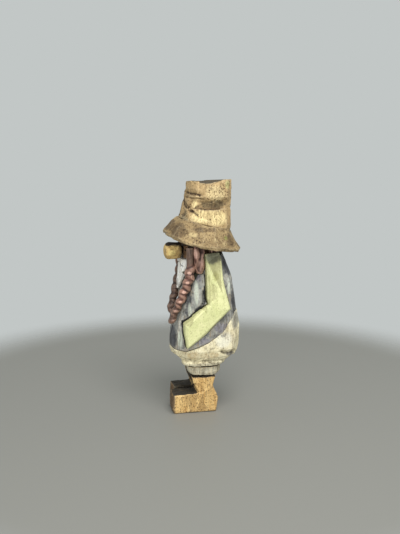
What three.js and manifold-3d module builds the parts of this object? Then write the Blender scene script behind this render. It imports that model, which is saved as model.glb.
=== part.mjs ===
// A small hand-carved wooden figure: an old wanderer in a slouched hat, with two braids, hands in the
// pockets of a pair of baggy trousers. It is carved in separate pieces of wood, pegged and glued together.
//
// Millimetres. +Z is up, the figure looks along -Y and its left side is at +X.

import * as THREE from 'three';
import { LoftGeometry } from 'three/addons/geometries/LoftGeometry.js';
import { mergeVertices } from 'three/addons/utils/BufferGeometryUtils.js';
import Module from 'manifold-3d';

const wasm = await Module();
wasm.setup();

// ---- Driving dimensions ------------------------------------------------------------------------------

const JOINT_GAP = 0.3; // left all round a piece where it is bedded in its neighbour
const CUT_DEPTH = 0.22; // how unevenly the knife leaves the facets

const SOLE = 0; // height of the soles
const ANKLE_TOP = 20.2;
const CUFF_TOP = 25.6;
const HEM_FRONT = 35.6; // the coat's hem, low in front and high behind
const HEM_BACK = 56;
const NECK = 71.6; // underside of the neckerchief
const CHIN = 77.4;
const NOSE_HEIGHT = 88.6;
const HAT_HEIGHT = 93.6; // middle of the brim's edge
const CROWN_TOP = 127; // at its highest corner

const HAT_TILT = THREE.MathUtils.degToRad(14); // the hat is pushed back on the head
const BRIM_RADIUS = 21.6;
const BRIM_RISE = 9.4;
const BRIM_DROOP = 1.7; // how far the brim hangs down at both sides
const BAND_RADIUS = 14.4; // foot of the crown
const HEAD_HALF_WIDTH = 8.6;
const COAT_HALF_WIDTH = 15.4;
const SEAT_HALF_WIDTH = 16.6;
const LEG_SPREAD = 6.9; // from the middle of the figure to the middle of a leg
const PEG_RADIUS = 2;

// ---- Colours of the washes and of the bare wood ---------------------------------------------------------

const finish = (color, roughness) => new THREE.MeshStandardMaterial({ color, roughness, metalness: 0 });

const hatWood = finish(0xb8945e, 0.75);
const bareWood = finish(0xcf9f62, 0.7);
const pegWood = finish(0xd9bd8c, 0.8);
const hairWash = finish(0x7d4a3d, 0.6);
const beardWash = finish(0xe2dccb, 0.8);
const scarfWash = finish(0x38402c, 0.75);
const coatWash = finish(0x8f9196, 0.8);
const sleeveWash = finish(0xdad89a, 0.75);
const trouserWash = finish(0xd8cba4, 0.8);

// ---- Helpers ----------------------------------------------------------------------------------------

// An even spread of small numbers from -1 to 1 that never changes, for the unevenness of knife work.
const knife = (a, b) => Math.sin(a * 12.9898 + b * 78.233 + 1.7);

// One flat-sided ring of a carved block. front and back are [y, z] where the ring crosses the middle
// plane, half is its half width, and boxy goes from 2, an ellipse, towards a square.
function ring({ front, back, half, x = 0, sides = 12, boxy = 2.6, uneven = CUT_DEPTH, seed = 0 }) {
  return Array.from({ length: sides }, (_, i) => {
    const angle = ((i + 0.5) / sides) * 2 * Math.PI;
    const power = 2 / boxy;
    const across = Math.sign(Math.cos(angle)) * Math.abs(Math.cos(angle)) ** power;
    const along = Math.sign(Math.sin(angle)) * Math.abs(Math.sin(angle)) ** power;
    const share = (1 + along) / 2;
    const cut = uneven * knife(seed + front[1], i);
    return new THREE.Vector3(
      x + across * (half + cut),
      THREE.MathUtils.lerp(front[0], back[0], share) + along * cut,
      THREE.MathUtils.lerp(front[1], back[1], share),
    );
  });
}

// A closed block through a stack of rings, from the lowest to the highest.
const block = (rings) => welded(new LoftGeometry(rings, { capStart: true, capEnd: true }));

// A geometry with only positions, whose faces share their corners.
function welded(geometry) {
  const bare = new THREE.BufferGeometry();
  bare.setAttribute('position', geometry.attributes.position);
  bare.setIndex(geometry.index);
  return mergeVertices(bare, 1e-4);
}

function solid(geometry) {
  const mesh = new wasm.Mesh({
    numProp: 3,
    vertProperties: Float32Array.from(geometry.attributes.position.array),
    triVerts: Uint32Array.from(geometry.index.array),
  });
  return new wasm.Manifold(mesh);
}

function fromSolid(manifold) {
  const mesh = manifold.getMesh();
  const geometry = new THREE.BufferGeometry();
  geometry.setAttribute('position', new THREE.BufferAttribute(mesh.vertProperties, 3));
  geometry.setIndex(new THREE.BufferAttribute(mesh.triVerts, 1));
  return geometry;
}

// A geometry with others taken out of it, or joined on to it.
const cut = (geometry, ...tools) =>
  fromSolid(tools.reduce((left, tool) => left.subtract(solid(tool)), solid(geometry)));
const join = (geometry, ...others) =>
  fromSolid(others.reduce((whole, other) => whole.add(solid(other)), solid(geometry)));

// The bed that a piece sits in: the same shape, larger by the joint gap on each side.
function bed(geometry, gap = JOINT_GAP) {
  geometry.computeBoundingBox();
  const centre = geometry.boundingBox.getCenter(new THREE.Vector3());
  const size = geometry.boundingBox.getSize(new THREE.Vector3());
  const grown = geometry.clone().translate(-centre.x, -centre.y, -centre.z);
  grown.scale(1 + (2 * gap) / size.x, 1 + (2 * gap) / size.y, 1 + (2 * gap) / size.z);
  return grown.translate(centre.x, centre.y, centre.z);
}

// An outline of y and z carried across the figure, half its width to either side of the middle.
function prismAcross(outline, width) {
  const geometry = new THREE.ExtrudeGeometry(outline, { depth: width, bevelEnabled: false, steps: 1 });
  return welded(geometry.applyMatrix4(
    new THREE.Matrix4().set(0, 0, 1, -width / 2, 1, 0, 0, 0, 0, 1, 0, 0, 0, 0, 0, 1)));
}

// The same piece for the other side of the figure, with its faces turned the right way out again.
function mirrored(geometry) {
  const other = geometry.clone().scale(-1, 1, 1);
  const index = Array.from(other.index.array);
  for (let i = 0; i < index.length; i += 3) {
    [index[i], index[i + 1]] = [index[i + 1], index[i]];
  }
  other.setIndex(index);
  return other;
}

// A round peg, or with a larger radius and length the bore for it, between two points.
function peg(from, to, radius = PEG_RADIUS, sides = 16) {
  const start = new THREE.Vector3(...from);
  const end = new THREE.Vector3(...to);
  const axis = end.clone().sub(start);
  const geometry = welded(new THREE.CylinderGeometry(radius, radius, axis.length(), sides));
  const turn = new THREE.Quaternion().setFromUnitVectors(new THREE.Vector3(0, 1, 0), axis.normalize());
  const middle = start.add(end).multiplyScalar(0.5);
  return geometry.applyQuaternion(turn).translate(middle.x, middle.y, middle.z);
}

// The bore for a peg: wider by the joint gap, and longer by it at both ends.
function bore(from, to, radius = PEG_RADIUS) {
  const start = new THREE.Vector3(...from);
  const end = new THREE.Vector3(...to);
  const extra = end.clone().sub(start).setLength(JOINT_GAP);
  return peg(start.sub(extra).toArray(), end.add(extra).toArray(), radius + JOINT_GAP);
}

// ---- Hat ----------------------------------------------------------------------------------------------

// A point given in the hat's own frame: across, towards the back, and up its tilted axis.
const HAT_CENTRE = [0.3, HAT_HEIGHT];
function inHat(x, u, w) {
  const y = HAT_CENTRE[0] + u * Math.cos(HAT_TILT) + w * Math.sin(HAT_TILT);
  const z = HAT_CENTRE[1] - u * Math.sin(HAT_TILT) + w * Math.cos(HAT_TILT);
  return new THREE.Vector3(x, y, z);
}

// A ring square to the hat's axis, lower at the sides where the brim droops.
const DROOP_TURN = 0.35; // the lowest point is a little in front of the side
function hatRing({ w, radius, sides = 16, shift = 0, droop = 0, seed = 0 }) {
  return Array.from({ length: sides }, (_, i) => {
    const angle = ((i + 0.5) / sides) * 2 * Math.PI;
    const r = radius + 1.6 * CUT_DEPTH * knife(seed, i);
    const hang = droop * Math.cos(angle + DROOP_TURN) ** 2;
    return inHat(r * Math.cos(angle), shift + r * Math.sin(angle), w - hang);
  });
}

const BRIM_EDGE = 0.8; // half the thickness of the brim at its edge
const HEAD_SEAT = 4.7; // how far the head reaches up inside the brim
const BAND_SHIFT = -1.4; // the crown stands a little forward on the brim

function hatBrim() {
  const outside = block([
    hatRing({ w: -BRIM_EDGE, radius: BRIM_RADIUS - 0.5, droop: BRIM_DROOP, seed: 1 }),
    hatRing({ w: BRIM_EDGE, radius: BRIM_RADIUS, droop: BRIM_DROOP, seed: 1 }),
    hatRing({ w: BRIM_RISE * 0.62, radius: BAND_RADIUS + 3.3, shift: BAND_SHIFT, seed: 2 }),
    hatRing({ w: BRIM_RISE, radius: BAND_RADIUS + 0.3, shift: BAND_SHIFT }),
  ]);
  const hollow = block([
    hatRing({ w: -2.4, radius: BRIM_RADIUS + 0.9, droop: BRIM_DROOP, seed: 1 }),
    hatRing({ w: HEAD_SEAT + JOINT_GAP, radius: HEAD_HALF_WIDTH + 2.6 }),
  ]);
  return cut(outside, hollow, bore(...HAT_PEG_ENDS));
}

// The crown slumps into two rolls: its foot leans with the hat, and its top is cut a little higher on the
// figure's left.
const TOP_SLOPE = 0.09;
const TOP_HALF_WIDTH = 10.6;
function hatCrown() {
  const roll = (front, back, half, seed) => ring({ front, back, half, sides: 14, boxy: 2.5, seed });
  const foot = BRIM_RISE + JOINT_GAP;
  const footFront = inHat(0, BAND_SHIFT - BAND_RADIUS, foot);
  const footBack = inHat(0, BAND_SHIFT + BAND_RADIUS, foot);
  const top = roll([-8.4, CROWN_TOP - 0.4], [16, CROWN_TOP], TOP_HALF_WIDTH, 8);
  top.forEach((point) => point.setZ(point.z - TOP_SLOPE * (TOP_HALF_WIDTH - point.x)));
  const body = block([
    roll([footFront.y, footFront.z], [footBack.y, footBack.z], 13.4, 0),
    roll([-11.6, 109], [16, 103.8], 13.2, 3),
    roll([-10.9, 112], [16.2, 109.4], 12.1, 4),
    roll([-10.2, 115.4], [16.1, 114], 11, 5),
    roll([-9.5, 118], [16.2, 117.6], 12.6, 6),
    roll([-9, 121.4], [16.3, 121.4], 12, 7),
    top,
  ]);
  // A crease runs across the top, behind the front third of the crown: steep in front, gentle at the back.
  const outline = new THREE.Shape([
    [-3.8, CROWN_TOP + 1], [-2.3, CROWN_TOP - 1.9], [2.6, CROWN_TOP - 2.1], [14, CROWN_TOP + 1],
  ].map(([y, z]) => new THREE.Vector2(y, z)));
  const crease = prismAcross(outline, 4 * TOP_HALF_WIDTH);
  return cut(body, crease, bore(...HAT_PEG_ENDS));
}

const HAT_PEG_ENDS = [inHat(0, 0, HEAD_SEAT - 6).toArray(), inHat(0, 0, BRIM_RISE + 8).toArray()];

// ---- Head -----------------------------------------------------------------------------------------------

const FACE = -10.8; // the plane of the face
const HEAD_BACK = 4.4;
const NOSE_TENON = [[0, FACE + 4, NOSE_HEIGHT], [0, FACE - 2, NOSE_HEIGHT]];
const TENON_RADIUS = 1.5;
const NECK_PEG_ENDS = [[0, -3, 64], [0, -3, CHIN + 4.5]];

function headBlock() {
  const slice = (z, front, back, half) => ring({ front: [front, z], back: [back, z], half, boxy: 3 });
  const seat = { front: inHat(0, -HEAD_HALF_WIDTH - 2, HEAD_SEAT), back: inHat(0, 4.2, HEAD_SEAT) };
  return block([
    slice(CHIN, FACE + 1.8, 0.6, HEAD_HALF_WIDTH - 2.6),
    slice(CHIN + 3, FACE, 2.6, HEAD_HALF_WIDTH - 0.9),
    slice(NOSE_HEIGHT - 2, FACE, HEAD_BACK, HEAD_HALF_WIDTH),
    slice(NOSE_HEIGHT + 4, FACE + 0.3, HEAD_BACK, HEAD_HALF_WIDTH - 0.2),
    ring({
      front: [seat.front.y, seat.front.z],
      back: [seat.back.y, seat.back.z],
      half: HEAD_HALF_WIDTH - 1,
      boxy: 3,
    }),
  ]);
}

// The nose is a barrel-shaped knob on a tenon.
function noseKnob() {
  const NOSE_SIDES = 10;
  const slice = (y, radius, drop) => Array.from({ length: NOSE_SIDES }, (_, i) => {
    const angle = ((i + 0.5) / NOSE_SIDES) * 2 * Math.PI;
    const r = radius + 0.6 * CUT_DEPTH * knife(radius, i);
    return new THREE.Vector3(r * Math.cos(angle), y, NOSE_HEIGHT - drop + 0.96 * r * Math.sin(angle));
  });
  const knob = block([
    slice(FACE - JOINT_GAP, 4.3, 0),
    slice(FACE - 3, 5.1, 0.1),
    slice(FACE - 7.4, 5.15, 0.3),
    slice(FACE - 9.8, 3.9, 0.4),
  ]);
  return join(knob, peg(NOSE_TENON[0], NOSE_TENON[1], TENON_RADIUS));
}

// The beard lies flat on the chin and runs down to a point on the chest.
function beardBlock() {
  const slice = (z, front, back, half, boxy) =>
    ring({ front: [front, z], back: [back, z], half, boxy, sides: 10, uneven: 0.1 });
  const locks = block([
    slice(67.6, -13.8, -12.6, 0.9, 2),
    slice(71, -14, -11, 3, 2.2),
    slice(75.5, -13.4, -8.4, 5.4, 2.4),
    slice(79, -12.9, -6, 7.3, 3),
    slice(82.6, -12.8, -6, 7.9, 3),
    slice(84.4, -11.9, -6.4, 7.4, 3),
  ]);
  return locks;
}

// ---- Hair -----------------------------------------------------------------------------------------------

// A fat twisted lock over the ear.
function hairLock() {
  const TWISTS = 6;
  const rings = [];
  for (let i = 0; i <= TWISTS; i += 1) {
    const share = i / TWISTS;
    const swell = Math.sin(Math.PI * (0.16 + 0.62 * share));
    const z = THREE.MathUtils.lerp(77.3, 93.6, share);
    const middle = THREE.MathUtils.lerp(-3.2, -3.8, share);
    const lean = 0.5 * Math.sin(i * 2.1);
    rings.push(ring({
      front: [middle - 3.9 * swell, z + lean],
      back: [middle + 3.7 * swell, z - lean],
      half: 2.3 * swell + 0.6,
      x: 10.6,
      sides: 10,
      boxy: 2.2,
      seed: i,
    }));
  }
  return block(rings);
}

// Hair at the nape, seen only from below the brim.
function napeHair() {
  const slice = (z, back, half) => ring({ front: [HEAD_BACK - 3, z], back: [back, z], half, sides: 12 });
  return block([slice(83, 6.6, 7.4), slice(87, 8.6, 8.9), slice(92.8, 7.8, 8.6)]);
}

// The hair hangs loose from under the brim, then it is braided down to a tuft on the belly. The braid
// bulges once for every crossing of its strands.
const BRAID_RADIUS = 3.1;
const LOOSE_RADIUS = 1.7;
const LOOSE_SHARE = 0.28; // of the whole length, from the top
const CROSSINGS = 6;
function braid(points, grow = 0) {
  const curve = new THREE.CatmullRomCurve3(points.map((p) => new THREE.Vector3(...p)));
  const STEPS = 32;
  const SIDES = 8;
  const frames = curve.computeFrenetFrames(STEPS, false);
  const rings = [];
  for (let step = 0; step <= STEPS; step += 1) {
    const share = step / STEPS;
    const braided = THREE.MathUtils.smoothstep(share, LOOSE_SHARE - 0.1, LOOSE_SHARE + 0.08);
    const bulge = Math.abs(Math.sin(((share - LOOSE_SHARE) / (1 - LOOSE_SHARE)) * CROSSINGS * Math.PI));
    const tip = 1 - 0.22 * share ** 2 - 0.3 * THREE.MathUtils.smoothstep(share, 0.93, 1);
    const full = BRAID_RADIUS * tip * (0.86 + 0.16 * bulge);
    const radius = THREE.MathUtils.lerp(LOOSE_RADIUS, full, braided) + grow;
    const centre = curve.getPointAt(share);
    rings.push(Array.from({ length: SIDES }, (_, i) => {
      const angle = (i / SIDES) * 2 * Math.PI;
      return centre.clone()
        .addScaledVector(frames.normals[step], radius * Math.cos(angle))
        .addScaledVector(frames.binormals[step], radius * Math.sin(angle));
    }));
  }
  return block(rings);
}

const LEFT_BRAID_PATH = [
  [10.8, -8.6, 92], [11, -8.6, 84], [11.3, -8.7, 78], [11.3, -9.3, 74], [10.9, -10.8, 70],
  [10.2, -12.6, 65.4], [9.5, -14.2, 61], [8.6, -16, 57.2], [7.8, -17.6, 53.4], [7.4, -18, 50.6],
];
// The other braid hangs a little straighter.
const RIGHT_BRAID_PATH = [
  [-10.8, -9, 92], [-10.9, -9.2, 84], [-11.1, -9.7, 78], [-10.9, -10.4, 74], [-10.4, -11.7, 69.4],
  [-9.6, -13, 64.4], [-8.7, -14.3, 59.6], [-7.9, -15.5, 55.4], [-7.4, -16.2, 52.2],
];

// ---- Neckerchief ----------------------------------------------------------------------------------------

function neckerchiefBlock() {
  const slice = (z, front, back, half) => ring({ front: [front, z], back: [back, z], half, boxy: 2.8 });
  return block([
    slice(NECK, -11.6, 1.4, 8.6),
    slice(NECK + 2.6, -12, 1.8, 9.6),
    slice(CHIN - JOINT_GAP, -10.6, 1.2, 8.4),
  ]);
}

// ---- Arms -------------------------------------------------------------------------------------------------

// The sleeve seen from the side: down from the shoulder, round the elbow and forward into the pocket.
const SLEEVE_OUTLINE = [
  [-0.8, 87.8], [-0.4, 74.6], [-0.5, 64.4], [0.2, 61.3], [-4.6, 57.8], [-12.4, 50.6], [-12.3, 45.2],
  [-11.2, 37.8], [-5.1, 42.2], [-0.7, 45.7], [5.8, 52.2], [12.2, 58.4], [11.6, 61.8], [9.8, 68],
  [8.7, 74.6], [8.1, 82], [6.8, 88.6],
];
const SLEEVE_INSIDE = 10;
const SLEEVE_OUTSIDE = 18.2; // at the elbow; the shoulder is narrower
const SHOULDER_HEIGHT = 88;
const ELBOW_HEIGHT = 58;
const SHOULDER_SLOPE = 4.4;
const SLEEVE_THICKNESS = SLEEVE_OUTSIDE - SLEEVE_INSIDE;

function sleeveSolid({ thickness, edge, grow, inside }) {
  const outline = new THREE.Shape(SLEEVE_OUTLINE.map(([y, z]) => new THREE.Vector2(y, z)));
  const geometry = new THREE.ExtrudeGeometry(outline, {
    depth: thickness - 2 * edge,
    bevelEnabled: true,
    bevelThickness: edge,
    bevelSize: Math.abs(grow) > 0 ? grow : edge,
    bevelOffset: Math.abs(grow) > 0 ? 0 : -edge,
    bevelSegments: 1,
    steps: 1,
  });
  // The outline's own x and y become the figure's y and z, and its depth runs outwards along x.
  geometry.applyMatrix4(new THREE.Matrix4().set(0, 0, 1, inside + edge, 1, 0, 0, 0, 0, 1, 0, 0, 0, 0, 0, 1));
  const position = geometry.attributes.position;
  for (let i = 0; i < position.count; i += 1) {
    const share = THREE.MathUtils.clamp(
      (position.getZ(i) - ELBOW_HEIGHT) / (SHOULDER_HEIGHT - ELBOW_HEIGHT), 0, 1);
    const depth = (position.getX(i) - SLEEVE_INSIDE) / SLEEVE_THICKNESS;
    position.setX(i, position.getX(i) - SHOULDER_SLOPE * depth * share ** 1.5);
  }
  return welded(geometry);
}

const sleeve = () => sleeveSolid({ thickness: SLEEVE_THICKNESS, edge: 1.1, grow: 0, inside: SLEEVE_INSIDE });
const sleeveBed = () => sleeveSolid({
  thickness: SLEEVE_THICKNESS + 12,
  edge: JOINT_GAP,
  grow: JOINT_GAP,
  inside: SLEEVE_INSIDE - JOINT_GAP,
});

const ARM_PEG_HEIGHT = 72;
const armPegEnds = (side) => [[side * 4.5, 4, ARM_PEG_HEIGHT], [side * 12.6, 4, ARM_PEG_HEIGHT]];

// ---- Coat and trousers ------------------------------------------------------------------------------------

// One carved block from the seat to the shoulders, parted afterwards along the coat's hem.
function bodyBlock() {
  const slice = (front, back, half, boxy = 2.7) => ring({ front, back, half, boxy, sides: 14 });
  return block([
    slice([-14, 29.2], [14.6, 28.2], 13.2),
    slice([-17, 31.8], [18.6, 31.2], 15.6),
    slice([-18, 35], [20.1, 35.4], SEAT_HALF_WIDTH),
    slice([-17.7, 41.4], [20.9, 41.6], SEAT_HALF_WIDTH),
    slice([-16.4, 48], [20.4, 48.6], SEAT_HALF_WIDTH - 0.3),
    slice([-14.8, 54], [19.4, 55], SEAT_HALF_WIDTH - 0.7),
    slice([-13.2, 61], [17.9, 63], COAT_HALF_WIDTH),
    slice([-12.4, 67], [16.9, 72.4], COAT_HALF_WIDTH - 1.2),
    slice([-11.4, 70], [14, 80.6], COAT_HALF_WIDTH - 2.8),
    slice([-9.6, NECK + 0.4], [11.2, 88.2], COAT_HALF_WIDTH - 5.4),
  ]);
}

// Everything above the hem, as one large block: level in front, rising towards the back.
function aboveHem(offset) {
  const REACH = 40;
  const outline = new THREE.Shape([
    [-REACH, HEM_FRONT], [-11, HEM_FRONT + 0.3], [0.5, 40.4], [8, 45.2], [13, 51.6], [16, HEM_BACK],
    [REACH, HEM_BACK], [REACH, 3 * REACH], [-REACH, 3 * REACH],
  ].map(([y, z]) => new THREE.Vector2(y, z + offset)));
  return prismAcross(outline, 2 * REACH);
}

const WAIST_PEG_ENDS = [[0, 1.5, 33], [0, 1.5, 56]];

// The bottom of each trouser leg, bunched into a fold above the turned-up cuff.
const FOLD_BOTTOM = CUFF_TOP + JOINT_GAP;
const legStub = (side) => block([
  ring({ front: [-10.2, FOLD_BOTTOM], back: [9.4, FOLD_BOTTOM], half: 6.4, x: side * LEG_SPREAD }),
  ring({ front: [-12.9, 26.7], back: [10.6, 26.4], half: 7.3, x: side * (LEG_SPREAD + 0.5) }),
  ring({ front: [-12.9, 28.4], back: [11.8, 27.8], half: 7.3, x: side * (LEG_SPREAD + 0.5) }),
  ring({ front: [-11.6, 29.6], back: [11.4, 29], half: 6.6, x: side * LEG_SPREAD }),
  ring({ front: [-11.6, 32], back: [11.4, 32], half: 6.6, x: side * LEG_SPREAD }),
]);

const cuffBlock = (side) => block([
  ring({ front: [-8.4, 21], back: [7.4, 20.6], half: 5.6, x: side * LEG_SPREAD, seed: side }),
  ring({ front: [-9.4, 22.8], back: [8.4, 22.4], half: 6.3, x: side * LEG_SPREAD, seed: side }),
  ring({ front: [-9.6, CUFF_TOP], back: [8.7, CUFF_TOP], half: 6.2, x: side * LEG_SPREAD, seed: side }),
]);

// ---- Legs -------------------------------------------------------------------------------------------------

const LEG_TENON_RADIUS = 2.6;
const legTenonEnds = (side) => [[side * LEG_SPREAD, -0.6, ANKLE_TOP - 1], [side * LEG_SPREAD, -0.6, 31]];

// The shin and the long square foot are one L-shaped piece, with a tenon up through the cuff.
const LEFT_TOE = -18.4;
const RIGHT_TOE = -15.8;
function legAndFoot(side) {
  const toe = side > 0 ? LEFT_TOE : RIGHT_TOE;
  const profile = new THREE.Shape([
    [toe + 0.8, SOLE], [5.6, SOLE], [6.8, 8], [6.4, 9.8], [4.1, 14.6], [5.6, ANKLE_TOP],
    [-7.8, ANKLE_TOP], [-6.4, 15], [-4.6, 11.2], [toe + 0.2, 10.7], [toe, 1.8],
  ].map(([y, z]) => new THREE.Vector2(y, z)));
  const FOOT_WIDTH = 11.4;
  const EDGE = 0.9;
  const geometry = new THREE.ExtrudeGeometry(profile, {
    depth: FOOT_WIDTH - 2 * EDGE,
    bevelEnabled: true,
    bevelThickness: EDGE,
    bevelSize: 0.7,
    bevelOffset: -0.7,
    bevelSegments: 1,
  });
  geometry.applyMatrix4(new THREE.Matrix4().set(
    0, 0, 1, side * (LEG_SPREAD + 0.3) - FOOT_WIDTH / 2 + EDGE, 1, 0, 0, 0, 0, 1, 0, 0, 0, 0, 0, 1));
  return join(welded(geometry), peg(...legTenonEnds(side), LEG_TENON_RADIUS));
}

// ---- Assembly ---------------------------------------------------------------------------------------------

const head = headBlock();
const nose = noseKnob();
const braidBeds = [braid(LEFT_BRAID_PATH, JOINT_GAP), braid(RIGHT_BRAID_PATH, JOINT_GAP)];
const beard = cut(beardBlock(), bed(nose), ...braidBeds);
const lock = hairLock();
const nape = napeHair();
const neckerchief = neckerchiefBlock();
const leftBraid = braid(LEFT_BRAID_PATH);
const rightBraid = braid(RIGHT_BRAID_PATH);
const body = bodyBlock();

const headWithBores = cut(
  head, bed(beard), ...braidBeds,
  bore(...NOSE_TENON, TENON_RADIUS), bore(...NECK_PEG_ENDS), bore(...HAT_PEG_ENDS));
const lockCuts = [bed(head), bed(beard), bed(neckerchief), sleeveBed()];
const leftLock = cut(lock, ...lockCuts, braidBeds[0]);
const rightLock = cut(mirrored(cut(lock, ...lockCuts)), braidBeds[1]);
const bodyBeds = [
  bed(head), bed(neckerchief), bed(beard), bed(lock), mirrored(bed(lock)), bed(nape),
  ...braidBeds, sleeveBed(), mirrored(sleeveBed()),
  bore(...NECK_PEG_ENDS), bore(...WAIST_PEG_ENDS), bore(...armPegEnds(1)), bore(...armPegEnds(-1)),
];
const coat = cut(fromSolid(solid(body).intersect(solid(aboveHem(0)))), ...bodyBeds);
const seat = fromSolid(solid(body).subtract(solid(aboveHem(-JOINT_GAP))));
const trousers = cut(
  join(seat, legStub(1), legStub(-1)), sleeveBed(), mirrored(sleeveBed()),
  ...braidBeds, bore(...WAIST_PEG_ENDS),
  bore(...legTenonEnds(1), LEG_TENON_RADIUS), bore(...legTenonEnds(-1), LEG_TENON_RADIUS));

const figure = new THREE.Group();
function add(name, geometry, material) {
  const mesh = new THREE.Mesh(geometry, material);
  mesh.name = name;
  figure.add(mesh);
}

add('hat_crown', hatCrown(), hatWood);
add('hat_brim', hatBrim(), hatWood);
add('hat_peg', peg(...HAT_PEG_ENDS), pegWood);
add('head', headWithBores, bareWood);
add('nose', nose, bareWood);
add('beard', beard, beardWash);
add('hair_nape', cut(nape, bed(head)), hairWash);
add('hair_lock_left', leftLock, hairWash);
add('hair_lock_right', rightLock, hairWash);
add('braid_left', leftBraid, hairWash);
add('braid_right', rightBraid, hairWash);
add('neckerchief', cut(neckerchief, bed(beard), ...braidBeds, bore(...NECK_PEG_ENDS)), scarfWash);
add('neck_peg', peg(...NECK_PEG_ENDS), pegWood);
add('coat', coat, coatWash);
add('waist_peg', peg(...WAIST_PEG_ENDS), pegWood);
add('trousers', trousers, trouserWash);
for (const [side, name] of [[1, 'left'], [-1, 'right']]) {
  const arm = side === 1 ? sleeve() : mirrored(sleeve());
  add(`arm_${name}`, cut(arm, bore(...armPegEnds(side))), sleeveWash);
  add(`arm_peg_${name}`, peg(...armPegEnds(side)), pegWood);
  add(`cuff_${name}`, cut(cuffBlock(side), bore(...legTenonEnds(side), LEG_TENON_RADIUS)), trouserWash);
  add(`leg_${name}`, legAndFoot(side), bareWood);
}

// The figure stands on its soles, with the origin under the middle of its outline.
figure.updateMatrixWorld(true);
const extent = new THREE.Box3().setFromObject(figure, true);
const middle = extent.getCenter(new THREE.Vector3());
figure.position.set(-middle.x, -middle.y, -extent.min.z);

export default figure;
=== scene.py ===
# %% [markdown]
# # A whittled wanderer
# The figure is cut from nineteen wooden blocks with one straight knife, pegged together and coloured with
# thin paint. The CAD model gives every block its size and place. This lesson loads those blocks, carves
# each of them further, and gives them grain, paint and wear.

# %% Load the blocks
import math

import bmesh
import bpy
import numpy as np
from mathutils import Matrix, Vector
from mathutils.bvhtree import BVHTree


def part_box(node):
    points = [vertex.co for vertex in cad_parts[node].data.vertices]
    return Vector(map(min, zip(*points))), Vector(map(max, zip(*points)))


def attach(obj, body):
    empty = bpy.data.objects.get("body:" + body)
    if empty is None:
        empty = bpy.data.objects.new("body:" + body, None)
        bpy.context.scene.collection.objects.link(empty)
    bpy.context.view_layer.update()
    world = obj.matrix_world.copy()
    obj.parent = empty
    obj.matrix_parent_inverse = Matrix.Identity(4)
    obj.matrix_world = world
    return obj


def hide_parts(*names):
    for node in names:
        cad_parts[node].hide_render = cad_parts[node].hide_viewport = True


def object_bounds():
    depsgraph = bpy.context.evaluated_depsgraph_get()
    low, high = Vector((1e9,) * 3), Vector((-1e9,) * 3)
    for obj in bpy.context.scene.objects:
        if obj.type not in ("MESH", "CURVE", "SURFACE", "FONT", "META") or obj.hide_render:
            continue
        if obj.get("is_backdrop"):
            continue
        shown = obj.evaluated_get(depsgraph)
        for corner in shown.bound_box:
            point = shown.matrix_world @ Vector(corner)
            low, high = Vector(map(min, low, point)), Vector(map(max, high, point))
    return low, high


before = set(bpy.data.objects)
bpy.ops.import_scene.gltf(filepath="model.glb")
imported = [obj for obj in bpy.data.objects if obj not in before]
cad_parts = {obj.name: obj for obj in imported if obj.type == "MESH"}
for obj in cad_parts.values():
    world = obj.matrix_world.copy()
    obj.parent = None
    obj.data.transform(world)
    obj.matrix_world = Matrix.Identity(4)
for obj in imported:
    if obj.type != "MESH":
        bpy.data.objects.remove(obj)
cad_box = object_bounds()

MM = 0.001
SIDES = ((1, "left"), (-1, "right"))
print("blocks and pegs:", len(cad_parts), "height in mm:", round((cad_box[1].z - cad_box[0].z) / MM, 1))

# %% [markdown]
# ## Where the knife works
# All knife work is given in millimetres from the middle of the figure, which looks along -Y and stands on
# z = 0. The waist peg stands a little behind the middle line, so its box tells where the line is.

# %% The figure's own millimetres
PEG_BEHIND_MIDDLE = 1.5
peg_low, peg_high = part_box("waist_peg")
MIDDLE = np.array([(peg_low.x + peg_high.x) / 2, (peg_low.y + peg_high.y) / 2 - PEG_BEHIND_MIDDLE * MM, 0])
print("middle line at", MIDDLE.round(5))

# %% [markdown]
# ## A blank to carve
# A sculptor in Blender would remesh a block and then use sculpting brushes by hand. Here the brushes are
# functions, so the carving can be repeated exactly. A copy of the block is remeshed into small even squares
# with the Remesh modifier, and its points are kept in a NumPy array, which every tool below moves.

# %% The blank
# The widths of the squares in millimetres. The coat, the biggest block, gets the widest ones, so that it
# stays under 200,000 triangles.
FINE_SQUARE, SMALL_SQUARE, USUAL_SQUARE, WIDE_SQUARE = 0.2, 0.22, 0.25, 0.31


def made_plain(holder):
    """The mesh that an object's modifiers make. The object itself is taken away again."""
    mesh = bpy.data.meshes.new_from_object(holder.evaluated_get(bpy.context.evaluated_depsgraph_get()))
    bpy.data.objects.remove(holder)
    return mesh


def remeshed(mesh, voxel):
    """The mesh as one skin of even squares, voxel wide, in the same units."""
    holder = bpy.data.objects.new("holder", mesh)
    bpy.context.scene.collection.objects.link(holder)
    modifier = holder.modifiers.new("even_squares", "REMESH")
    modifier.mode = "VOXEL"
    modifier.voxel_size = voxel
    modifier.adaptivity = 0
    return made_plain(holder)


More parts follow.
